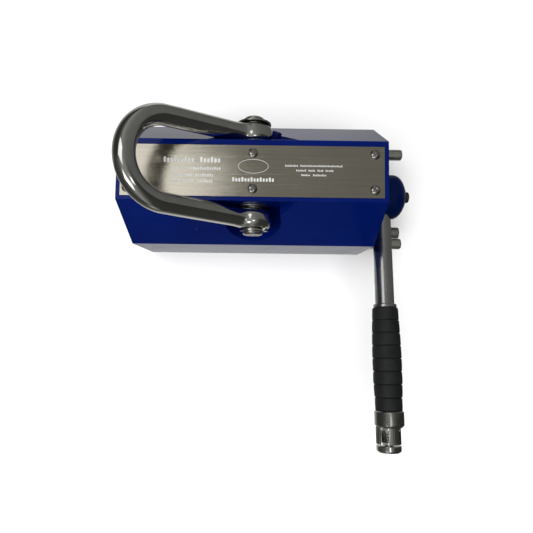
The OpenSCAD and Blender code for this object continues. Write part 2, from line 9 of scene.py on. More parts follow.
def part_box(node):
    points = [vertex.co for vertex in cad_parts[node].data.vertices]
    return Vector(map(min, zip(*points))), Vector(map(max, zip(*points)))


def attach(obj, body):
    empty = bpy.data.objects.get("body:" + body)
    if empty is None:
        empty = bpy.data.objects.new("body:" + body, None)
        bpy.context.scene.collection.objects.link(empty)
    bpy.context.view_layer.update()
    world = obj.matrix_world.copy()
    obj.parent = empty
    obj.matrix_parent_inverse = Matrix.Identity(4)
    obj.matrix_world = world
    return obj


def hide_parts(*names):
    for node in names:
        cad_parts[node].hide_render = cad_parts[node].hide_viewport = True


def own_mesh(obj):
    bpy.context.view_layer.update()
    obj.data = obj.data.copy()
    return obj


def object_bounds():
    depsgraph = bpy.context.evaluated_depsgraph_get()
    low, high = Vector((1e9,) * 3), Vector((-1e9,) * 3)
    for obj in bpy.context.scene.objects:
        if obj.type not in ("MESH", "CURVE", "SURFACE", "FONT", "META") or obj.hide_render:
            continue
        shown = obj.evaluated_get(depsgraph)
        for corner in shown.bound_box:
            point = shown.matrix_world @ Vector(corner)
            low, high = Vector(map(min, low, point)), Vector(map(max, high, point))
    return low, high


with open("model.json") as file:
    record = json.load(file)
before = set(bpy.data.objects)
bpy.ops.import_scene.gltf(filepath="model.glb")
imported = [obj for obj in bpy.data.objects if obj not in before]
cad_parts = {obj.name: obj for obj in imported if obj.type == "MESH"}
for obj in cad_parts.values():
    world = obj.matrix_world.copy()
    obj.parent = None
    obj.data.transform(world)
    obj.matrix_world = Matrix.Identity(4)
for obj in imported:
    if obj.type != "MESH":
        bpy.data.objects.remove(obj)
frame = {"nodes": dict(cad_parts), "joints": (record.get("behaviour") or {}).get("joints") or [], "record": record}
CAD_LOW, CAD_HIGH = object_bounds()

MM = 0.001
NODES = frame["nodes"]
RECORD = frame["record"]
JOINTS = {j["name"]: j for j in frame["joints"]}
scene = bpy.context.scene


# ---------- places taken from the frame ----------

X_AXIS = Vector((1, 0, 0))
Y_AXIS = Vector((0, 1, 0))
Z_AXIS = Vector((0, 0, 1))
ROTOR_AT = Vector(JOINTS["lever_turn"]["pos_m"])
PIN_AT = Vector(JOINTS["shackle_fold"]["pos_m"])
ALONG_LEVER = Vector(JOINTS["ring_pull"]["axis"]).normalized()


def reach(node, origin, axis):
    """Lowest and highest distance of a node along an axis, and its largest radius from it."""
    along, radius = [], []
    for v in NODES[node].data.vertices:
        d = v.co - origin
        s = d.dot(axis)
        along.append(s)
        radius.append((d - axis * s).length)
    return min(along), max(along), max(radius)


def middle(node):
    low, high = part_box(node)
    return (low + high) / 2


LEVER_AT = Vector((middle("lever_bar").x, ROTOR_AT.y, ROTOR_AT.z))
TAIL_AT = Vector((middle("pull_ring").x, ROTOR_AT.y, ROTOR_AT.z))


# ---------- node materials ----------

class Graph:
    """Short calls for the nodes of one material, in object space and metres."""

    def __init__(self, name):
        self.material = bpy.data.materials.new(name)
        self.material.use_nodes = True
        self.tree = self.material.node_tree
        self.shader = self.tree.nodes["Principled BSDF"]
        self.place = self.add("ShaderNodeTexCoord").outputs["Object"]

    def add(self, kind, **settings):
        node = self.tree.nodes.new(kind)
        for key, value in settings.items():
            setattr(node, key, value)
        return node

    def feed(self, socket, value):
        if isinstance(value, bpy.types.NodeSocket):
            self.tree.links.new(value, socket)
        else:
            socket.default_value = value

    def stretch(self, scale, turn=(0, 0, 0), shift=(0, 0, 0)):
        node = self.add("ShaderNodeMapping")
        self.feed(node.inputs["Vector"], self.place)
        node.inputs["Scale"].default_value = scale
        node.inputs["Rotation"].default_value = turn
        node.inputs["Location"].default_value = shift
        return node.outputs["Vector"]

    def noise(self, scale, detail=3.0, rough=0.5, vector=None, warp=0.0):
        node = self.add("ShaderNodeTexNoise")
        self.feed(node.inputs["Vector"], vector or self.place)
        node.inputs["Scale"].default_value = scale
        node.inputs["Detail"].default_value = detail
        node.inputs["Roughness"].default_value = rough
        node.inputs["Distortion"].default_value = warp
        return node.outputs["Fac"]

    def cells(self, scale):
        node = self.add("ShaderNodeTexVoronoi")
        self.feed(node.inputs["Vector"], self.place)
        node.inputs["Scale"].default_value = scale
        return node.outputs["Distance"]

    def math(self, operation, a, b=0.0, clamp=False):
        node = self.add("ShaderNodeMath", operation=operation, use_clamp=clamp)
        self.feed(node.inputs[0], a)
        self.feed(node.inputs[1], b)
        return node.outputs[0]

    def scaled(self, value, low, high, out_low=0.0, out_high=1.0):
        node = self.add("ShaderNodeMapRange", clamp=True)
        self.feed(node.inputs["Value"], value)
        for key, number in zip(("From Min", "From Max", "To Min", "To Max"), (low, high, out_low, out_high)):
            node.inputs[key].default_value = number
        return node.outputs["Result"]

    def mix(self, share, a, b):
        node = self.add("ShaderNodeMix", data_type="RGBA")
        self.feed(node.inputs["Factor"], share)
        for socket, value in ((node.inputs[6], a), (node.inputs[7], b)):
            self.feed(socket, value if isinstance(value, bpy.types.NodeSocket) else (*value, 1.0))
        return node.outputs[2]

    def split(self, vector=None):
        node = self.add("ShaderNodeSeparateXYZ")
        self.feed(node.inputs[0], vector or self.place)
        return node.outputs

    def bump(self, height, strength, distance, under=None):
        node = self.add("ShaderNodeBump")
        node.inputs["Strength"].default_value = strength
        node.inputs["Distance"].default_value = distance
        self.feed(node.inputs["Height"], height)
        if under is not None:
            self.feed(node.inputs["Normal"], under)
        return node.outputs["Normal"]

    def finish(self, **values):
        names = {
            "color": "Base Color", "metallic": "Metallic", "rough": "Roughness", "normal": "Normal",
            "specular": "Specular IOR Level",
        }
        for key, value in values.items():
            if isinstance(value, tuple) and len(value) == 3:
                value = (*value, 1.0)
            self.feed(self.shader.inputs[names[key]], value)
        return self.material


def blue_paint(name, dark, light, ground=True):
    """Glossy enamel with slight orange peel, tone drift and dust; the lifting face is ground bare."""
    g = Graph(name)
    drift = g.noise(9, 3, 0.55)
    color = g.mix(g.scaled(drift, 0.35, 0.65), dark, light)
    speck_share = g.scaled(g.cells(46), 0.035, 0.05, 1.0, 0.0)
    chosen = g.scaled(g.noise(31, 0), 0.66, 0.68)
    speck = g.math("MULTIPLY", speck_share, chosen)
    color = g.mix(g.math("MULTIPLY", speck, 0.55), color, (0.5, 0.5, 0.52))
    smear = g.scaled(g.noise(14, 4, 0.6, warp=0.6), 0.5, 0.8, 0.07, 0.2)
    rough = g.math("ADD", smear, g.math("MULTIPLY", g.noise(220, 3), 0.05))
    peel = g.bump(g.noise(480, 1), 0.05, 0.0002)
    sag = g.bump(g.noise(42, 2), 0.05, 0.0012, peel)
    metallic = 0.0
    if ground:
        down = g.split()[2]
        bare = g.scaled(down, 0.00002, 0.00008, 1.0, 0.0)
        lines = g.noise(1, 4, 0.6, g.stretch((900, 14, 14)))
        steel = g.mix(lines, (0.3, 0.3, 0.3), (0.5, 0.49, 0.48))
        color = g.mix(bare, color, steel)
        metallic = bare
        rough = g.math("ADD", rough, g.math("MULTIPLY", bare, 0.2))
    return g.finish(color=color, rough=rough, normal=sag, specular=0.16, metallic=metallic)


def brushed(name, dark, light, grain, rough=(0.2, 0.34), scratches=0.0, relief=0.18):
    """Brushed or turned steel: fine lines along one direction, with handling scratches."""
    g = Graph(name)
    lines = g.noise(1, 5, 0.62, g.stretch(grain))
    broad = g.noise(16, 4, 0.6, warp=0.4)
    tone = g.math("ADD", g.math("MULTIPLY", lines, 0.6), g.math("MULTIPLY", broad, 0.4))
    color = g.mix(g.scaled(tone, 0.3, 0.7), dark, light)
    normal = g.bump(lines, relief, 0.00006)
    value = g.scaled(g.math("ADD", lines, broad), 0.7, 1.3, *rough)
    if scratches:
        for turn, scale in ((0.5, (9, 420, 1)), (-0.35, (7, 380, 1)), (1.25, (12, 300, 1))):
            line = g.noise(1, 1, 0.4, g.stretch(scale, (0, 0, turn), (turn, 3 * turn, 0)), 0.15)
            mark = g.scaled(line, 0.69, 0.73)
            patch = g.scaled(g.noise(23, 1, 0.5, g.stretch((1, 1, 1), (0, 0, 0), (turn, 0, 0))), 0.48, 0.62)
            mark = g.math("MULTIPLY", mark, patch)
            color = g.mix(g.math("MULTIPLY", mark, scratches), color, (0.8, 0.78, 0.74))
            normal = g.bump(mark, 0.12, 0.00004, normal)
            value = g.math("ADD", value, g.math("MULTIPLY", mark, 0.12))
    return g.finish(color=color, metallic=1.0, rough=value, normal=normal)


def chrome(name, tint=(0.76, 0.755, 0.72), rough=(0.05, 0.13), wave=0.25):
    """Polished plating over a forging: soft waves, faint haze and hairline marks."""
    g = Graph(name)
    haze = g.noise(28, 4, 0.6, warp=0.5)
    dull = tuple(0.82 * c for c in tint)
    color = g.mix(g.scaled(haze, 0.4, 0.75), tint, dull)
    hair = g.scaled(g.noise(1, 2, 0.5, g.stretch((60, 900, 700), (0, 0.6, 0.2))), 0.6, 0.72)
    value = g.math("ADD", g.scaled(haze, 0.35, 0.75, *rough), g.math("MULTIPLY", hair, 0.05))
    waves = g.bump(g.noise(36, 1.5, 0.5), wave, 0.0016)
    fine = g.bump(g.noise(260, 2), 0.04, 0.0002, waves)
    return g.finish(color=color, metallic=1.0, rough=value, normal=fine)


def foam_rubber():
    g = Graph("grip_foam")
    cells = g.noise(2600, 2, 0.6)
    patch = g.noise(55, 4, 0.6)
    color = g.mix(g.scaled(patch, 0.35, 0.7), (0.005, 0.0055, 0.0055), (0.0095, 0.0105, 0.0105))
    color = g.mix(g.scaled(cells, 0.6, 0.8, 0.0, 0.3), color, (0.03, 0.031, 0.031))
    normal = g.bump(cells, 0.35, 0.00012)
    rough = g.scaled(patch, 0.3, 0.75, 0.5, 0.66)
    return g.finish(color=color, rough=rough, normal=normal, specular=0.45)


def plain(name, dark, light, rough, grain, metallic=0.0, bump=0.12):
    """Cast, moulded or unfinished surfaces: fine grain and a slow change of tone."""
    g = Graph(name)
    fine = g.noise(grain, 4, 0.6)
    slow = g.noise(grain / 9, 3, 0.5)
    tone = g.math("ADD", g.math("MULTIPLY", fine, 0.5), g.math("MULTIPLY", slow, 0.5))
    return g.finish(
        color=g.mix(g.scaled(tone, 0.35, 0.65), dark, light), metallic=metallic,
        rough=g.scaled(fine, 0.3, 0.7, *rough), normal=g.bump(fine, bump, 0.0002))


LENGTHWISE = (900, 10, 900)
MATERIALS = {
    "blue_paint": blue_paint("blue_paint", (0.0, 0.005, 0.072), (0.0, 0.0074, 0.094)),
    "nameplate_steel": brushed(
        "nameplate_steel", (0.46, 0.43, 0.36), (0.62, 0.58, 0.5), (10, 1500, 10), (0.11, 0.19),
        scratches=0.35, relief=1.0),
    "stainless": brushed("stainless", (0.4, 0.4, 0.4), (0.55, 0.55, 0.54), (12, 900, 900)),
    "zinc_steel": brushed("zinc_steel", (0.38, 0.38, 0.38), (0.6, 0.6, 0.58), (500, 60, 60), (0.2, 0.36)),
    "bare_steel": brushed("bare_steel", (0.3, 0.3, 0.3), (0.48, 0.47, 0.46), (700, 40, 40), (0.28, 0.42)),
    "chrome": chrome("chrome"),
    "magnet": plain("magnet", (0.36, 0.36, 0.37), (0.52, 0.52, 0.53), (0.2, 0.34), 300, 1.0, 0.06),
    "brass": plain("brass", (0.5, 0.34, 0.12), (0.68, 0.5, 0.22), (0.25, 0.4), 220, 1.0, 0.08),
    "bronze": plain("bronze", (0.36, 0.2, 0.09), (0.52, 0.31, 0.15), (0.28, 0.45), 220, 1.0, 0.1),
    "seal_rubber": plain("seal_rubber", (0.012, 0.012, 0.012), (0.024, 0.024, 0.024), (0.5, 0.7), 700),
    "grip_foam": foam_rubber(),
    "black_plastic": plain("black_plastic", (0.008, 0.008, 0.009), (0.016, 0.016, 0.018), (0.3, 0.45), 900),
    "spring_steel": brushed(
        "spring_steel", (0.45, 0.45, 0.45), (0.7, 0.7, 0.68), (900, 900, 900), (0.12, 0.24)),
}
# Painted shade: the hub gets the same blue paint in darker tones, for the shade it sits in low beside the body.
SHADED_HUB_PAINT = blue_paint("hub_paint_painted_shade", (0.0, 0.0035, 0.03), (0.0, 0.0052, 0.042), False)
BAR = brushed("plated_bar", (0.48, 0.49, 0.49), (0.68, 0.68, 0.67), LENGTHWISE, (0.16, 0.3))
PIN = brushed("ground_pin", (0.52, 0.52, 0.48), (0.78, 0.78, 0.73), (10, 700, 700), (0.2, 0.34))
TURNED = brushed("turned_steel", (0.4, 0.4, 0.38), (0.64, 0.63, 0.6), (40, 1400, 1400), (0.14, 0.3))
SCREW = chrome("screw_plating", (0.52, 0.51, 0.48), (0.04, 0.09), 0.1)
ETCHED = plain("etched_steel", (0.5, 0.5, 0.49), (0.66, 0.66, 0.645), (0.5, 0.7), 900, 0.35, 0.1)


# ---------- making pieces ----------

def new_piece(name, verts, faces, body, material, replaces=(), sharp=35):
    mesh = bpy.data.meshes.new(name)
    mesh.from_pydata([tuple(v) for v in verts], [], faces)
    piece = bpy.data.objects.new(name, mesh)
    scene.collection.objects.link(piece)
    tidy_mesh(mesh, sharp)
    mesh.materials.append(material)
    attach(piece, body)
    if replaces:
        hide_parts(*replaces)
    return piece


def tidy_mesh(mesh, sharp):
    """Outward normals, smooth faces, and hard edges where faces meet at more than an angle."""
    work = bmesh.new()
    work.from_mesh(mesh)
    bmesh.ops.remove_doubles(work, verts=work.verts, dist=1e-7)
    bmesh.ops.recalc_face_normals(work, faces=work.faces)
    for face in work.faces:
        face.smooth = True
    limit = math.radians(sharp)
    for edge in work.edges:
        edge.smooth = len(edge.link_faces) == 2 and edge.calc_face_angle(0.0) < limit
    work.to_mesh(mesh)
    work.free()


def fillet(points, steps=4):
    """Rounds a profile's corners. Each point is (radius, distance) or (radius, distance, corner)."""
    out = []
    for i, p in enumerate(points):
        size = p[2] if len(p) > 2 else 0.0
        here = Vector(p[:2])
        if not size or i in (0, len(points) - 1):
            out.append(here)
            continue
        before = (Vector(points[i - 1][:2]) - here).normalized()
        after = (Vector(points[i + 1][:2]) - here).normalized()
        angle = before.angle(after)
        cut = size / math.tan(angle / 2)
        centre = here + (before + after).normalized() * (size / math.sin(angle / 2))
        a = here + before * cut - centre
        b = here + after * cut - centre
        for k in range(steps + 1):
            share = k / steps
            out.append(centre + (a * (1 - share) + b * share).normalized() * size)
    return out


def lathe(profile, origin, axis, segments=96):
    """Turned solid. The profile is in millimetres and starts and ends on the axis, or is a closed ring."""
    across = axis.orthogonal().normalized()
    other = axis.cross(across)
    verts, rings, faces = [], [], []
    for r, s in profile:
        centre = origin + axis * s * MM
        if r < 1e-6:
            rings.append([len(verts)])
            verts.append(centre)
            continue
        rings.append(list(range(len(verts), len(verts) + segments)))
        for k in range(segments):
            a = 2 * math.pi * k / segments
            verts.append(centre + (across * math.cos(a) + other * math.sin(a)) * r * MM)
    pairs = list(zip(rings, rings[1:]))
    if len(rings[0]) > 1:
        pairs.append((rings[-1], rings[0]))
    for low, high in pairs:
        for k in range(segments):
            n = (k + 1) % segments
            if len(low) == 1 and len(high) == 1:
                break
            if len(low) == 1:
                faces.append((low[0], high[k], high[n]))
            elif len(high) == 1:
                faces.append((low[k], high[0], low[n]))
            else:
                faces.append((low[k], high[k], high[n], low[n]))
    return verts, faces


def cut(piece, verts, faces, sharp=35):
    """Takes a closed shape out of a piece."""
    mesh = bpy.data.meshes.new("cutter")
    mesh.from_pydata([tuple(v) for v in verts], [], faces)
    tidy_mesh(mesh, sharp)
    cutter = bpy.data.objects.new("cutter", mesh)
    scene.collection.objects.link(cutter)
    modifier = piece.modifiers.new("cut", "BOOLEAN")
    modifier.operation = "DIFFERENCE"
    modifier.solver = "EXACT"
    modifier.object = cutter
    bpy.context.view_layer.update()
    evaluated = piece.evaluated_get(bpy.context.evaluated_depsgraph_get())
    result = bpy.data.meshes.new_from_object(evaluated)
    piece.modifiers.clear()
    piece.data = result
    bpy.data.objects.remove(cutter)
    tidy_mesh(result, sharp)


def joined(parts):
    """Several shapes as one list of vertices and faces."""
    verts, faces = [], []
    for part_verts, part_faces in parts:
        shift = len(verts)
        verts += part_verts
        faces += [tuple(i + shift for i in f) for f in part_faces]
    return verts, faces


def refine(node, width, segments=2, angle=32):
    """Welds a carried-over CAD node and rounds its edges with modifiers, mesh untouched."""
    piece = NODES[node]
    weld = piece.modifiers.new("weld", "WELD")
    weld.merge_threshold = 2e-6
    flat = piece.modifiers.new("flat", "DECIMATE")
    flat.decimate_type = "DISSOLVE"
    flat.angle_limit = math.radians(0.4)
    bevel = piece.modifiers.new("bevel", "BEVEL")
    bevel.width = width * MM
    bevel.segments = segments
    bevel.limit_method = "ANGLE"
    bevel.angle_limit = math.radians(angle)
    bevel.harden_normals = False
    normals = piece.modifiers.new("normals", "WEIGHTED_NORMAL")
    normals.keep_sharp = True
    normals.weight = 60


# ---------- carried-over CAD nodes ----------

for part in RECORD["subparts"]:
    finish = MATERIALS[part["material_slot"]]
    for material_slot in NODES[part["node"]].material_slots:
        material_slot.material = finish

for node, finish in {
    "lever_bar": BAR, "lever_collar": BAR, "end_collar": TURNED, "spring_cage": MATERIALS["chrome"],
    "stop_pin_near": PIN, "stop_pin_far": PIN, "shackle_pin": PIN, "pin_washer_far": PIN,
}.items():
    for material_slot in NODES[node].material_slots:
        material_slot.material = finish

for node, width in {
    "pole_shoe_near": 0.5, "pole_shoe_far": 0.5, "end_plate_front": 0.6, "end_plate_rear": 0.6,
    "nameplate": 0.3, "lever_collar": 0.3, "end_collar": 0.5, "spring_cage": 0.4, "pull_ring": 0.4,
    "stop_pin_near": 0.7, "stop_pin_far": 0.7, "shackle_pin": 0.4, "lock_button": 0.25,
    "lock_guide": 0.3, "pin_bush_near": 0.4, "pin_bush_far": 0.4, "circlip_near": 0.25,
    "circlip_far": 0.25, "end_plate_screws_front": 0.2, "end_plate_screws_rear": 0.2, "hub_plug": 0.4,
}.items():
    refine(node, width)


# ---------- shackle ----------

def smooth_step(t):
    """0 below 0 and 1 above 1, with a level start and end."""
    t = min(max(t, 0.0), 1.0)
    return t * t * (3 - 2 * t)


def shackle():
    """One forged bar: eye, leg, bow, leg and eye, with sections that swell into the eyes."""
    bow_r, bow_d, bar_r = 41.15, 100.0, 10.1
    eye_y, eye_r, eye_half = 44.5, 20.0, 11.0
    lean = math.radians(1.9)
    fold = math.radians(38.6)
    sides = 56
    corner = Vector((-bow_d - bow_r * math.sin(lean), bow_r * math.cos(lean)))
    eye = Vector((0.0, eye_y))
    leg = eye - corner
    stations = []
    # Distances from the pin, from the eye's far end (negative) to the start of the bow.
    reach_mm = [-20 + 0.012, -19.9, -19.6, -19, -18, -16.5, -14.5, -12, -9, -6, -3, 0, 3, 6, 9, 12,
                14, 16, 18, 20, 22, 24, 26, 29, 32, 36, 40, 50, 62, 76, 90]
    for t in reach_mm:
        disc = math.sqrt(max(eye_r ** 2 - t * t, 0.0)) if t < eye_r else 0.0
        blend = smooth_step((t - 9) / 24)
        half_height = disc * (1 - blend) + bar_r * blend if t < eye_r else bar_r
        if t > 0:
            half_height = max(disc, bar_r + (eye_r - bar_r) * (1 - smooth_step((t - 3) / 25)) ** 2.2)
            half_height = bar_r + (half_height - bar_r) * (1 - smooth_step((t - 14) / 18))
        half_width = eye_half + (bar_r - eye_half) * smooth_step((t - 6) / 22)
        if t < 0:
            half_width = eye_half * (1 - (abs(t) / eye_r) ** 4.6) ** (1 / 2.6)
        power = 2.0 + 1.25 * (1 - smooth_step((t - 4) / 22))
        stations.append((t, half_height, half_width, power))
    path = []
    direction = -leg.normalized()
    for t, height, width, power in stations:
        path.append((eye + direction * t, direction, height, width, power))
    for k in range(2, 59):
        a = math.radians(90) + lean + (math.pi - 2 * lean) * k / 60
        at = Vector((-bow_d + bow_r * math.cos(a), bow_r * math.sin(a)))
        path.append((at, Vector((-math.sin(a), math.cos(a))), bar_r, bar_r, 2.0))
    for at, along, height, width, power in reversed(path[:len(stations)]):
        path.append((Vector((at.x, -at.y)), Vector((-along.x, along.y)), height, width, power))
    turn = Matrix.Rotation(fold, 3, "Y")
    verts, faces = [], []
    for at, along, height, width, power in path:
        side = Vector((-along.y, along.x))
        for k in range(sides):
            a = 2 * math.pi * k / sides
            c, s = math.cos(a), math.sin(a)
            u = math.copysign(abs(c) ** (2 / power), c) * width
            v = math.copysign(abs(s) ** (2 / power), s) * height
            local = Vector((at.x + side.x * u, at.y + side.y * u, v))
            verts.append(PIN_AT + (turn @ local) * MM)
    rings = len(path)
    for i in range(rings - 1):
        for k in range(sides):
            n = (k + 1) % sides
            a, b = i * sides, (i + 1) * sides
            faces.append((a + k, a + n, b + n, b + k))
    faces.append(tuple(range(sides)))
    faces.append(tuple((rings - 1) * sides + k for k in reversed(range(sides))))
    piece = new_piece("shackle_forging", verts, faces, "shackle", MATERIALS["chrome"],
                      ["shackle_bow"], 50)
    bore = [(0, -60), (10.8, -60), (10.8, 60), (0, 60)]
    cut(piece, *lathe(bore, PIN_AT, Y_AXIS, 96), sharp=50)


shackle()


# ---------- lever hub, grip and end fittings ----------

def hub():
    """Blunt dome with a bolt recess in its end; the bore for the journal is behind the web."""
    base, top, radius = (v / MM for v in reach("lever_hub", ROTOR_AT, X_AXIS))
    flat, recess, bore = 8.0, 6.8, 14.05
    dome_from, web_from, web_to = 166.2, 172.0, 175.0
    profile = [(0, web_from), (bore, web_from), (bore, base)]
    profile += fillet([(bore, base), (radius, base, 1.2), (radius, base + 9)])[1:-1]
    steps = 28
    for k in range(steps + 1):
        u = math.sin(math.radians(90) * k / steps)
        profile.append((flat + (radius - flat) * (1 - u ** 2.6) ** 0.935, dome_from + (top - dome_from) * u))
    profile += fillet([(flat, top), (recess, top, 0.4), (recess, web_to)])[1:]
    profile.append((0, web_to))
    verts, faces = lathe([tuple(p) for p in profile], ROTOR_AT, X_AXIS, 128)
    # The hub takes the darker copy of the blue paint, which is painted shade.
    piece = new_piece("hub_casting", verts, faces, "rotor", SHADED_HUB_PAINT, ["lever_hub"], 40)
    socket = fillet([(0, 14.9), (11.05, 14.9), (11.05, 26.2), (12.2, 28.2), (0, 28.2)])
    cut(piece, *lathe([tuple(p) for p in socket], LEVER_AT, ALONG_LEVER, 64), sharp=40)


def grip():
    """Foam sleeve in bands, fullest a little before its middle."""
    start, end, _ = (v / MM for v in reach("grip", LEVER_AT, ALONG_LEVER))
    radii = [(14.85, 15.25), (15.4, 15.9), (15.9, 16.3), (16.25, 16.5),
             (16.5, 16.35), (16.2, 16.28), (16.05, 15.5), (15.25, 15.08)]
    bore, depth, half, crown = 11.05, 1.15, 0.55, 0.16
    band = (end - start) / len(radii)
    outer = []
    for i, (first, last) in enumerate(radii):
        s0 = start + band * i
        for k in range(9):
            share = k / 8
            s = s0 + half + (band - 2 * half) * share
            r = first + (last - first) * share - crown * (2 * share - 1) ** 2
            corner = {0: 0.9, 8: 0.9}.get(k, 0)
            outer.append((r, s, corner))
        if i < len(radii) - 1:
            low = min(last, radii[i + 1][0]) - depth
            outer += [(low, s0 + band - 0.12, 0.1), (low, s0 + band + 0.12, 0.1)]
    profile = fillet([(bore, start), (outer[0][0] - 1.2, start + 0.02, 0.3)] + outer
                     + [(outer[-1][0] - 0.9, end - 0.02, 0.3), (bore, end)], 4)
    verts, faces = lathe([tuple(p) for p in profile], LEVER_AT, ALONG_LEVER, 96)
    new_piece("foam_grip", verts, faces, "rotor", MATERIALS["grip_foam"], ["grip"], 60)


def coil(origin, axis, length, radius, wire, turns, sides=10, steps=36):
    """A round-wire coil spring with one closed turn at each end, in millimetres."""
    across = axis.orthogonal().normalized()
    other = axis.cross(across)
    total = turns + 1.5
    count = int(total * steps)
    free = length - 2 * wire
    verts, faces = [], []
    for i in range(count + 1):
        turn = total * i / count
        closed = 0.75
        share = (min(max(turn, closed), total - closed) - closed) / (total - 2 * closed)
        lift = wire * 1.9
        base = min(turn, closed) / closed * lift / 2 + max(turn - total + closed, 0) / closed * lift / 2
        s = wire + base + share * (free - lift)
        a = 2 * math.pi * turn
        out = across * math.cos(a) + other * math.sin(a)
        for k in range(sides):
            b = 2 * math.pi * k / sides
            offset = out * (radius + wire * math.cos(b)) + axis * (s + wire * math.sin(b))
            verts.append(origin + offset * MM)
    for i in range(count):
        for k in range(sides):
            n = (k + 1) % sides
            faces.append((i * sides + k, i * sides + n, (i + 1) * sides + n, (i + 1) * sides + k))
    faces.append(tuple(range(sides)))
    faces.append(tuple(count * sides + k for k in reversed(range(sides))))
    return verts, faces


def springs():
    start, end, _ = (v / MM for v in reach("pull_spring", TAIL_AT, ALONG_LEVER))
    length = end - start
    origin = TAIL_AT + ALONG_LEVER * start * MM
    verts, faces = coil(origin, ALONG_LEVER, length, 9.4, 0.6, 3)
    piece = new_piece("ring_spring", verts, faces, "rotor", MATERIALS["spring_steel"],
                      ["pull_spring"], 60)
    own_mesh(piece)
    at = middle("lock_button")
    at.x = 0
    start, end, _ = (v / MM for v in reach("lock_spring", at, X_AXIS))
    length = end - start
    verts, faces = coil(at + X_AXIS * start * MM, X_AXIS, length, 3.7, 0.45, 8)
    piece = new_piece("button_spring", verts, faces, "housing", MATERIALS["spring_steel"],
                      ["lock_spring"], 60)
    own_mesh(piece)


hub()
grip()
springs()


# ---------- nameplate: screws and etched marks ----------

def box_shape(centre, size, turn):
    """A closed box, tapered to 70 percent at its lower end."""
    verts = []
    for z, share in ((0.0, 0.7), (1.0, 1.0)):
        for x, y in ((-1, -1), (1, -1), (1, 1), (-1, 1)):
            local = Vector((x * size[0] / 2 * share, y * size[1] / 2, z * size[2]))
            verts.append(centre + (turn @ local) * MM)
    faces = [(0, 3, 2, 1), (4, 5, 6, 7), (0, 1, 5, 4), (1, 2, 6, 5), (2, 3, 7, 6), (3, 0, 4, 7)]
    return verts, faces


def screw_places():
    """Centres of the six heads, read from the screws' own vertices."""
    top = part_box("nameplate")[1].z
    groups = []
    for v in NODES["nameplate_screws"].data.vertices:
        for group in groups:
            if abs(group[0].x - v.co.x) < 0.011 and abs(group[0].y - v.co.y) < 0.011:
                group.append(v.co)
                break
        else:
            groups.append([v.co])
    places = []
    for group in groups:
        xs = [c.x for c in group]
        ys = [c.y for c in group]
        places.append(Vector(((min(xs) + max(xs)) / 2, (min(ys) + max(ys)) / 2, top)))
    return places


def name_screws():
    heads, recesses = [], []
    for i, place in enumerate(screw_places()):
        dome = []
        for degrees in range(0, 90, 9):
            a = math.radians(degrees)
            dome.append((5 * math.cos(a), 0.25 + 2.15 * math.sin(a)))
        profile = [(0, -8), (2.4, -8), (2.4, 0), (4.85, 0), (5, 0.12)] + dome + [(0, 2.4)]
        heads.append(lathe(profile, place, Z_AXIS, 48))
        turn = math.radians(17 + 53 * i)
        for quarter in (0, 90):
            spin = Matrix.Rotation(turn + math.radians(quarter), 3, "Z")
            length = 5.4 if quarter == 0 else 5.35
            recesses.append(box_shape(place + Z_AXIS * 0.7 * MM, (length, 1.5, 3), spin))
    verts, faces = joined(heads)
    piece = new_piece("plate_screws", verts, faces, "housing", SCREW, ["nameplate_screws"], 30)
    cut(piece, *joined(recesses[0::2]), sharp=30)
    cut(piece, *joined(recesses[1::2]), sharp=30)


def flat_bar(x0, x1, y0, y1, z, thick):
    """A thin upright dash with cut corners, lying on the plate."""
    r = 0.25 * (x1 - x0)
    outline = (
        (x0 + r, y0), (x1 - r, y0), (x1, y0 + r), (x1, y1 - r),
        (x1 - r, y1), (x0 + r, y1), (x0, y1 - r), (x0, y0 + r),
    )
    n = len(outline)
    verts = [Vector((px, py, z)) * MM for px, py in outline]
    verts += [Vector((px, py, z + thick)) * MM for px, py in outline]
    faces = [tuple(reversed(range(n))), tuple(range(n, 2 * n))]
    faces += [(k, (k + 1) % n, n + (k + 1) % n, n + k) for k in range(n)]
    return verts, faces


def etched_marks():
    """Rows of plain upright dashes in groups, and an empty ellipse, in place of lettering."""
    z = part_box("nameplate")[1].z / MM - 0.01
    thick = 0.05
    rows = [
        (9.3, 5.6, 3.3, [(-88, -57), (-52, -31)]),
        (0.8, 3.2, 2.3, [(-81, -69), (-66, -31)]),
        (-6.0, 3.2, 2.3, [(-79, -59), (-56, -38)]),
        (-12.0, 3.2, 2.3, [(-79.5, -69), (-66, -57), (-54, -39)]),
        (-9.9, 4.4, 3.0, [(-20, 22)]),
        (4.5, 2.0, 1.5, [(32, 45), (47, 89)]),
        (-0.2, 2.0, 1.5, [(43, 53), (55, 62), (64, 70), (72, 80)]),
        (-4.8, 2.0, 1.5, [(48, 57), (59.5, 73)]),
    ]
    parts = []
    for y, height, pitch, groups in rows:
        for x0, x1 in groups:
            count = max(2, round((x1 - x0) / pitch))
            step = (x1 - x0) / count
            for k in range(count):
                short = 0.0 if k % 3 == 0 else 0.22 * height
                bottom, top = y - height / 2, y + height / 2 - short
                parts.append(flat_bar(x0 + k * step, x0 + (k + 0.66) * step, bottom, top, z, thick))
    steps = 72
    centre, half = (0.5, 3.4), (15.0, 7.1)
    verts, faces = [], []
    for grow, lift in ((0.0, 0), (0.0, thick), (0.42, thick), (0.42, 0)):
        for k in range(steps):
            a = 2 * math.pi * k / steps
            verts.append(Vector((centre[0] + (half[0] - grow) * math.cos(a),
                                 centre[1] + (half[1] - grow) * math.sin(a), z + lift)) * MM)
    for row in range(4):
        for k in range(steps):
            n = (k + 1) % steps
            a, b = row * steps, ((row + 1) % 4) * steps
            faces.append((a + k, a + n, b + n, b + k))
    parts.append((verts, faces))
    verts, faces = joined(parts)
    new_piece("etched_marks", verts, faces, "housing", ETCHED)


name_screws()
etched_marks()


# ---------- floor, light and camera ----------

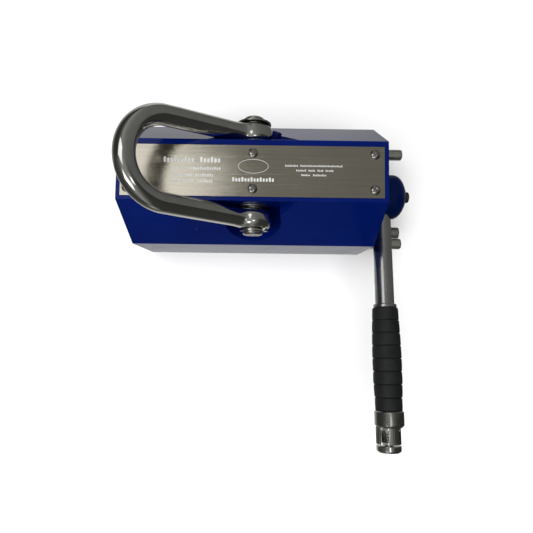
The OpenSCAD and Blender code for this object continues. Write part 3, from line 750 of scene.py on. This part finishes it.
def floor():
    """A pale floor, left open under the pole shoes so that the lifting face can be seen from below."""
    size = 2.4
    low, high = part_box("pole_shoe_near")[0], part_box("pole_shoe_far")[1]
    inset = 1.5 * MM
    verts = []
    for x, y in ((-size, -size), (size, -size), (size, size), (-size, size)):
        verts.append((x, y, 0))
    for x, y in ((low.x, low.y), (high.x, low.y), (high.x, high.y), (low.x, high.y)):
        verts.append((x - math.copysign(inset, x), y - math.copysign(inset, y), 0))
    faces = [(k, (k + 1) % 4, 4 + (k + 1) % 4, 4 + k) for k in range(4)]
    mesh = bpy.data.meshes.new("floor")
    mesh.from_pydata(verts, [], faces)
    plane = bpy.data.objects.new("floor", mesh)
    plane.location.z = CAD_LOW.z - 0.2 * MM
    plane.visible_glossy = False
    scene.collection.objects.link(plane)
    g = Graph("floor")
    slow = g.noise(3, 3)
    mesh.materials.append(g.finish(
        color=g.mix(slow, (0.88, 0.88, 0.88), (0.9, 0.9, 0.9)), rough=0.9, specular=0.05))


def softbox(name, at, size, watts, aim=(0, 0, 0.1), mirrored=True):
    """A soft light; one that isn't mirrored only fills, and no glossy face shows it."""
    data = bpy.data.lights.new(name, "AREA")
    data.shape = "RECTANGLE"
    data.size, data.size_y = size
    data.energy = watts
    lamp = bpy.data.objects.new(name, data)
    lamp.location = at
    direction = Vector(aim) - Vector(at)
    lamp.rotation_euler = direction.to_track_quat("-Z", "Y").to_euler()
    lamp.visible_glossy = mirrored
    scene.collection.objects.link(lamp)


# Brightness of the room by degrees from straight up towards +X, for the +Y side and for the -Y side.
ROOM_UPPER = (
    (-180, 0.6), (-159, 0.56), (-127, 0.38), (-112, 0.25), (-100, 0.08), (-80, 0.03), (-50, 0.035),
    (-32, 0.08), (-12, 0.24), (0, 0.24), (10, 0.2), (20, 0.17), (40, 0.14), (60, 0.13),
    (100, 0.115), (130, 0.1), (150, 0.32), (170, 0.56), (180, 0.6),
)
ROOM_LOWER = (
    (-180, 0.08), (-150, 0.05), (-110, 0.05), (-80, 0.05), (-50, 0.1), (-25, 0.26), (0, 0.3),
    (15, 0.2), (30, 0.09), (42, 0.035), (100, 0.03), (150, 0.03), (180, 0.08),
)
# Share of the +Y side's brightness, by how far the direction points to +Y.
SHARE = ((-1, 0.8), (-0.95, 0.1), (-0.04, 0), (0.14, 1), (1, 1))


def room():
    """A plain world, dark to the left and on the -Y side, in front of a pale backdrop."""
    world = bpy.data.worlds.new("room")
    scene.world = world
    world.use_nodes = True
    tree = world.node_tree

    def math_node(operation, a, b):
        node = tree.nodes.new("ShaderNodeMath")
        node.operation = operation
        for socket, value in zip(node.inputs, (a, b)):
            if isinstance(value, bpy.types.NodeSocket):
                tree.links.new(value, socket)
            else:
                socket.default_value = value
        return node.outputs[0]

    def ramp(share, stops):
        node = tree.nodes.new("ShaderNodeValToRGB")
        tree.links.new(share, node.inputs[0])
        elements = node.color_ramp.elements
        while len(elements) < len(stops):
            elements.new(0.5)
        for element, (position, value) in zip(elements, stops):
            element.position = position
            element.color = (value, value, 0.95 * value, 1)
        return node.outputs[0]

    place = tree.nodes.new("ShaderNodeTexCoord")
    axes = tree.nodes.new("ShaderNodeSeparateXYZ")
    tree.links.new(place.outputs["Generated"], axes.inputs[0])
    x, y, z = axes.outputs
    turn = math_node("DIVIDE", math_node("ARCTAN2", x, z), 2 * math.pi)
    turn = math_node("ADD", turn, 0.5)
    upper = ramp(turn, [((a + 180) / 360, v) for a, v in ROOM_UPPER])
    lower = ramp(turn, [((a + 180) / 360, v) for a, v in ROOM_LOWER])
    side = math_node("ADD", math_node("MULTIPLY", y, 0.5), 0.5)
    share = ramp(side, [((a + 1) / 2, v) for a, v in SHARE])
    below = math_node("MINIMUM", math_node("SUBTRACT", math_node("MULTIPLY", z, -3.0), 1.5), 1.0)
    blend = tree.nodes.new("ShaderNodeMix")
    blend.data_type = "RGBA"
    tree.links.new(math_node("MAXIMUM", share, below), blend.inputs[0])
    tree.links.new(lower, blend.inputs[6])
    tree.links.new(upper, blend.inputs[7])
    lit = tree.nodes["Background"]
    tree.links.new(blend.outputs[2], lit.inputs[0])
    backdrop = tree.nodes.new("ShaderNodeBackground")
    backdrop.inputs[0].default_value = (0.86, 0.86, 0.87, 1)
    seen = tree.nodes.new("ShaderNodeMixShader")
    tree.links.new(tree.nodes.new("ShaderNodeLightPath").outputs["Is Camera Ray"], seen.inputs[0])
    tree.links.new(lit.outputs[0], seen.inputs[1])
    tree.links.new(backdrop.outputs[0], seen.inputs[2])
    tree.links.new(seen.outputs[0], tree.nodes["World Output"].inputs[0])


def studio():
    """One wide fill from above, a fill from the left, and three soft panels that the plating mirrors."""
    room()
    softbox("fill_top", (0, 0, 2.3), (3.6, 3.6), 92, (0, 0, 0), False)
    softbox("fill_left", (-1.3, -0.9, 1.2), (0.8, 0.8), 16, (0, 0, 0), False)
    softbox("panel", (-0.37, 0.15, 0.94), (0.42, 0.45), 0.6, (-0.1, 0, 0.1))
    softbox("key", (-0.52, -0.74, 1.2), (0.7, 0.45), 1.8, (-0.1, 0, 0.2))
    softbox("lamp_tail", (0.13, -0.3, 1.0), (0.17, 0.17), 0.16, (0.16, -0.3, 0.05))


def camera():
    """Seen from above, a little to the near side, with a lens of 477 pixels on a 533 pixel frame."""
    data = bpy.data.cameras.new("camera")
    data.sensor_width = 36
    data.lens = 477 / 533 * 36
    data.clip_start = 0.01
    view = bpy.data.objects.new("camera", data)
    right = Vector((0.99990493, 0.01274853, 0.00525484))
    up = Vector((-0.01308011, 0.99754309, 0.06882368))
    back = Vector((-0.00436453, -0.06888587, 0.997615))
    turn = Matrix((right, up, back)).transposed().to_4x4()
    view.matrix_world = Matrix.Translation((0.012788, -0.127502, 0.627828)) @ turn
    scene.collection.objects.link(view)
    scene.camera = view


floor()
studio()
camera()
scene.view_settings.view_transform = "Standard"
